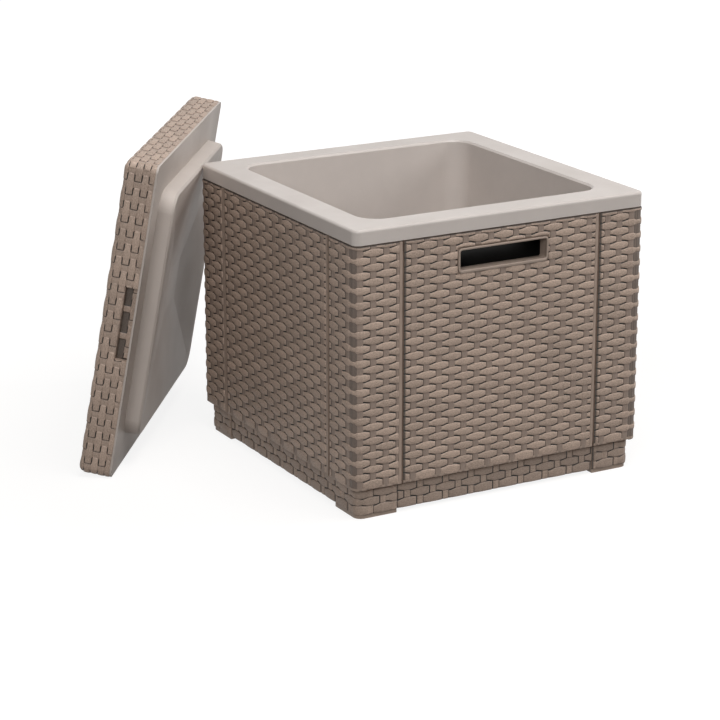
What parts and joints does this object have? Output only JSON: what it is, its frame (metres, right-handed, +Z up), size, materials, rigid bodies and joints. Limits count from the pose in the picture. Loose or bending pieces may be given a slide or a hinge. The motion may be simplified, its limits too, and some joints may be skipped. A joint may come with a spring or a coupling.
{
  "type": "cooler table with lid",
  "caption": "Square moulded wicker patio table with a smooth cooling tub inside, set-back feet and a lift-off lid that leans against one corner.",
  "frame": {"origin": "on the floor under the middle of the box", "axes": "+Z up, -Y towards the front face with a handhold, +X towards the right-hand face"},
  "size_m": [0.6468, 0.6499, 0.4187],
  "materials": {
    "wicker_resin": "moulded weave with a fine grain, matt",
    "smooth_resin": "smooth satin",
    "liner_plastic": "smooth satin, pale grey",
    "soft_rubber": "matt",
    "screw_steel": "plated"
  },
  "bodies": {
    "box": {"base_screws": "screw_steel", "base_tray": "wicker_resin", "corner_post_back_left": "wicker_resin", "corner_post_back_right": "wicker_resin", "corner_post_front_left": "wicker_resin", "corner_post_front_right": "wicker_resin", "handle_frame_back": "smooth_resin", "handle_frame_front": "smooth_resin", "panel_back": "wicker_resin", "panel_front": "wicker_resin", "panel_left": "wicker_resin", "panel_right": "wicker_resin", "tub": "smooth_resin"},
    "lid": {"lid_shell": "wicker_resin", "lid_liner": "liner_plastic"},
    "stopper": {"drain_stopper": "soft_rubber", "stopper_seal": "soft_rubber"}
  },
  "joints": [
    {"name": "lid_lift", "type": "slide", "parent": "box", "child": "lid", "axis": [0, 0, 1], "range_m": [0, 0.4]},
    {"name": "stopper_pull", "type": "slide", "parent": "box", "child": "stopper", "axis": [0, 0, 1], "range_m": [0, 0.05]}
  ]
}
